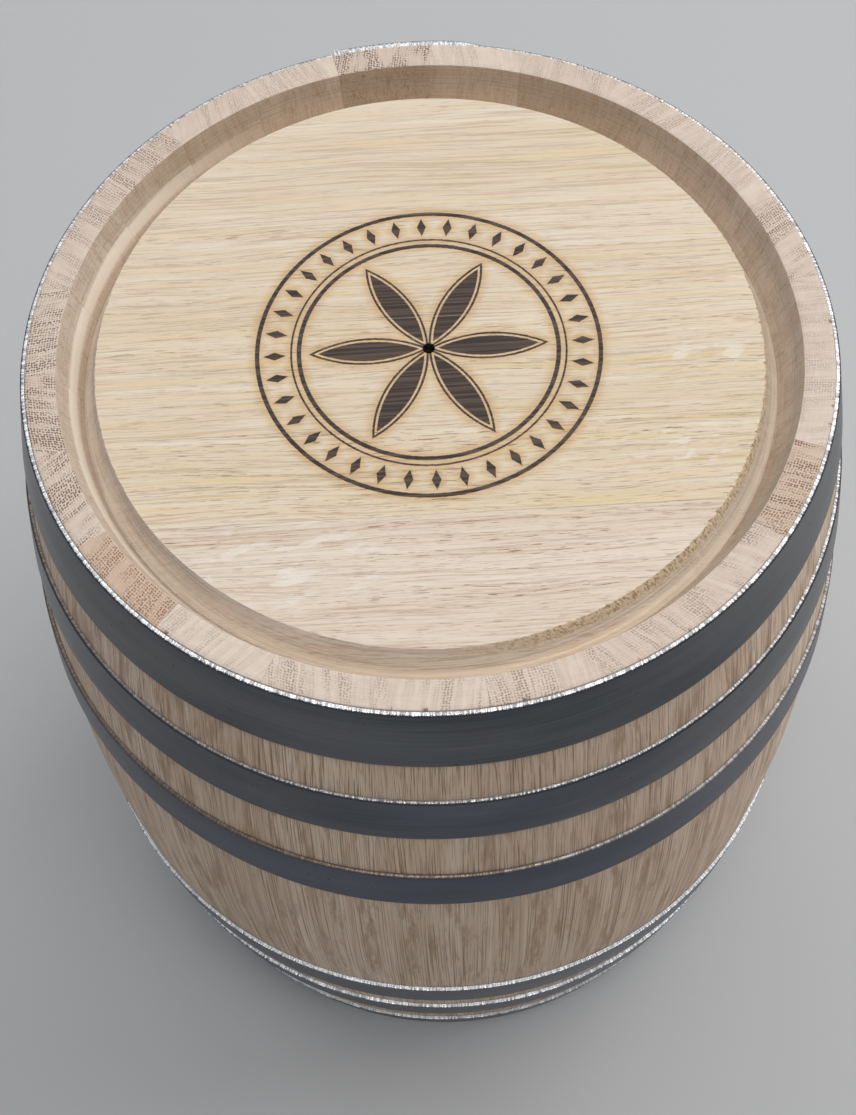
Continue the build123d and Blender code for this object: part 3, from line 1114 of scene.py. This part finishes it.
def add_hoop(name, low, high, lap_degrees, grain_start):
    """Strip wound once round the barrel, with its outer end lapped over the feathered start."""
    middle = (low + high) / 2
    reach = wood_radius(middle)
    lap = lap_length / wood_radius(high)
    start = math.radians(lap_degrees) - lap / 2
    ramp = lap_ramp / reach
    clip = lap_clip / reach
    painted_glint, glint_swing, bare_share, blue = hoop_looks[name]
    section = hoop_section(low, high, name.startswith("lower"))
    dice = random.Random(name)
    rings, marks, painted_glints, bares = [], [], [], []
    for angle in between(-ramp, 2 * math.pi + lap, hoop_steps):
        feather = min(1.0, angle / ramp + 1)
        lift = clipped((angle - 2 * math.pi + ramp) / ramp) * (hoop_thickness + lap_clearance)
        to_end = 2 * math.pi + lap - angle
        narrow = max(0.0, 1 - to_end / clip) * lap_clip / 2
        flare = max(0.0, 1 - to_end / (flare_clips * clip))**2 * lap_flare
        covered = clipped(1 - uncover_rate * (angle - lap) / ramp)
        crowned = 0.0 if to_end * reach < lap_corner else 1 - covered
        nick = dice.random()
        turn = start + angle
        ring = []
        for offset, z, zone, drop in section:
            z -= drop * crowned
            share = (z - middle) / (high - middle)
            shake = 0.0
            if zone == SHEARED:
                shake = burr * (burr_nick * nick + burr_grit * dice.random())
            height = middle + share * (high - middle - narrow) - shake * share
            radius = wood_radius(height) + hoop_clearance + offset * feather + lift + flare
            ring.append((radius * math.cos(turn), radius * math.sin(turn), height))
            marks.append((angle * reach + grain_start, height, radius))
            # Painted highlight on the upper edge, brighter toward the lit side
            painted_glints.append(clipped(painted_glint + glint_swing * math.cos(turn - glint_side)))
            bares.append(bare_share + 1 - crowned - crowned * offset / hoop_thickness)
        rings.append(ring)
    points, faces, zones = skin(rings, lambda row, index: section[index][2], SHEARED, SHEARED)
    faces = [(face[0], *reversed(face[1:])) for face in faces]
    piece = new_piece(f"steel_{name}", points, faces, zones, hoop_finishes)
    smooth(piece, hoop_sharp_degrees)
    write_vectors(piece.data, "grain", marks)
    write_values(piece.data, "painted_glint", painted_glints)
    write_values(piece.data, "bare", bares)
    write_values(piece.data, "blue", [blue] * len(points))
    finish_piece(piece, "barrel", name)


def add_hoops():
    grain_start = 0.0
    for end in ("upper", "lower"):
        for place, lap_degrees in lap_angles.items():
            node = f"{end}_{place}_hoop"
            low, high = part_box(node)
            grain_start += hoop_grain_jump
            add_hoop(node, low.z, high.z, lap_degrees, grain_start)


def dress_solid(node, material):
    """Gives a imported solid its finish."""
    mesh = frame["nodes"][node].data
    mesh.materials.clear()
    mesh.materials.append(material)


for number in range(1, stave_count + 1):
    if number == bung_stave_number:
        add_stave("bung_stave", number, bung_hole())
    else:
        add_stave(f"stave_{number:02d}", number)
add_head("top", False)
add_head("bottom", True)
add_hoops()
add_bung()
dress_solid("hoop_rivets", rivet_material())
dress_solid("top_head_dowels", dowel_wood)
dress_solid("bottom_head_dowels", dowel_wood)


# Floor, light and camera
backdrop_colour = (0.55, 0.56, 0.575)
floor_half = 4.0
floor_fade = (0.8, 2.4)

# Lamps, all aimed at the middle of the barrel: place, width and height, watts and colour
lamps = {
    "right_window": ((2.1, 1.05, 2.08), (2.5, 2.1), 45, (1.0, 0.98, 0.95)),
    "left_window": ((-1.2, 0.95, 1.6), (0.9, 0.9), 4, (0.95, 0.97, 1.0)),
    "overhead": ((0.0, 0.45, 2.2), (1.6, 1.3), 7.5, (1.0, 1.0, 0.99)),
    "front_fill": ((0.2, -0.8, 2.4), (1.5, 0.8), 16, (1.0, 0.98, 0.96)),
    "back_window": ((0.1, 1.9, 1.75), (1.8, 0.6), 5, (1.0, 1.0, 1.0)),
}
room_colour = (0.9, 0.95, 1.0)
room_strength = 0.14

# Camera, as the photograph was taken
camera_place = Vector((-0.0066, -0.3681, 0.8905))
camera_aim = Vector((-0.0037, 0.0199, 0.19))
camera_roll = math.radians(2.76)
camera_lens = 56.34
camera_sensor = 36.0
camera_near = 0.01


def seen_directly(tree):
    """1 for rays from the camera and for those mirrored or let through, which show the backdrop."""
    path = tree.add("ShaderNodeLightPath")
    return tree.largest(path["Is Camera Ray"], path["Is Glossy Ray"], path["Is Transmission Ray"])


def floor_material():
    """Pale floor that fades into the backdrop well away from the barrel."""
    tree = Finish("pale_floor")
    place = tree.object_place()
    cloud = place.noise((2.0, 2.0, 2.0))
    colour = cloud.mix((0.56, 0.57, 0.585), (0.59, 0.6, 0.61))
    material = tree.close(colour, 0.9, gloss=0.1)
    fade = place.length().step(*floor_fade) * seen_directly(tree)
    backdrop = tree.add("ShaderNodeEmission", {"Color": backdrop_colour, "Strength": 1.0})[0]
    floor = Value(tree, tree.shader.outputs[0])
    mixed = tree.add("ShaderNodeMixShader", {0: fade, 1: floor, 2: backdrop})[0]
    tree.fill(tree.tree.nodes["Material Output"], {"Surface": mixed})
    return material


def add_floor():
    half = floor_half
    corners = [(-half, -half, 0), (half, -half, 0), (half, half, 0), (-half, half, 0)]
    floor = new_piece("floor", corners, [(0, 1, 2, 3)], [0], [floor_material()])


def add_light():
    for name, (place, size, watts, colour) in lamps.items():
        data = bpy.data.lights.new(name, "AREA")
        data.shape = "RECTANGLE"
        data.size, data.size_y = size
        data.energy = watts
        data.color = colour
        lamp = bpy.data.objects.new(name, data)
        lamp.location = place
        lamp.rotation_mode = "QUATERNION"
        lamp.rotation_quaternion = (Vector((0, 0, half_height)) - Vector(place)).to_track_quat("-Z", "Y")
        bpy.context.collection.objects.link(lamp)
    world = bpy.data.worlds.new("room")
    world.use_nodes = True
    tree = Tree(world.node_tree)
    room = tree.add("ShaderNodeBackground", {"Color": room_colour, "Strength": room_strength})[0]
    backdrop = tree.add("ShaderNodeBackground", {"Color": backdrop_colour, "Strength": 1.0})[0]
    mixed = tree.add("ShaderNodeMixShader", {0: seen_directly(tree), 1: room, 2: backdrop})[0]
    tree.fill(tree.tree.nodes["World Output"], {"Surface": mixed})
    bpy.context.scene.world = world


def add_camera():
    data = bpy.data.cameras.new("camera")
    data.lens = camera_lens
    data.sensor_width = camera_sensor
    data.clip_start = camera_near
    camera = bpy.data.objects.new("camera", data)
    look = (camera_aim - camera_place).to_track_quat("-Z", "Y").to_matrix()
    roll = Matrix.Rotation(-camera_roll, 3, "Z")
    camera.matrix_world = Matrix.Translation(camera_place) @ (look @ roll).to_4x4()
    bpy.context.collection.objects.link(camera)
    bpy.context.scene.camera = camera


add_floor()
add_light()
add_camera()
bpy.context.scene.view_settings.view_transform = "Standard"
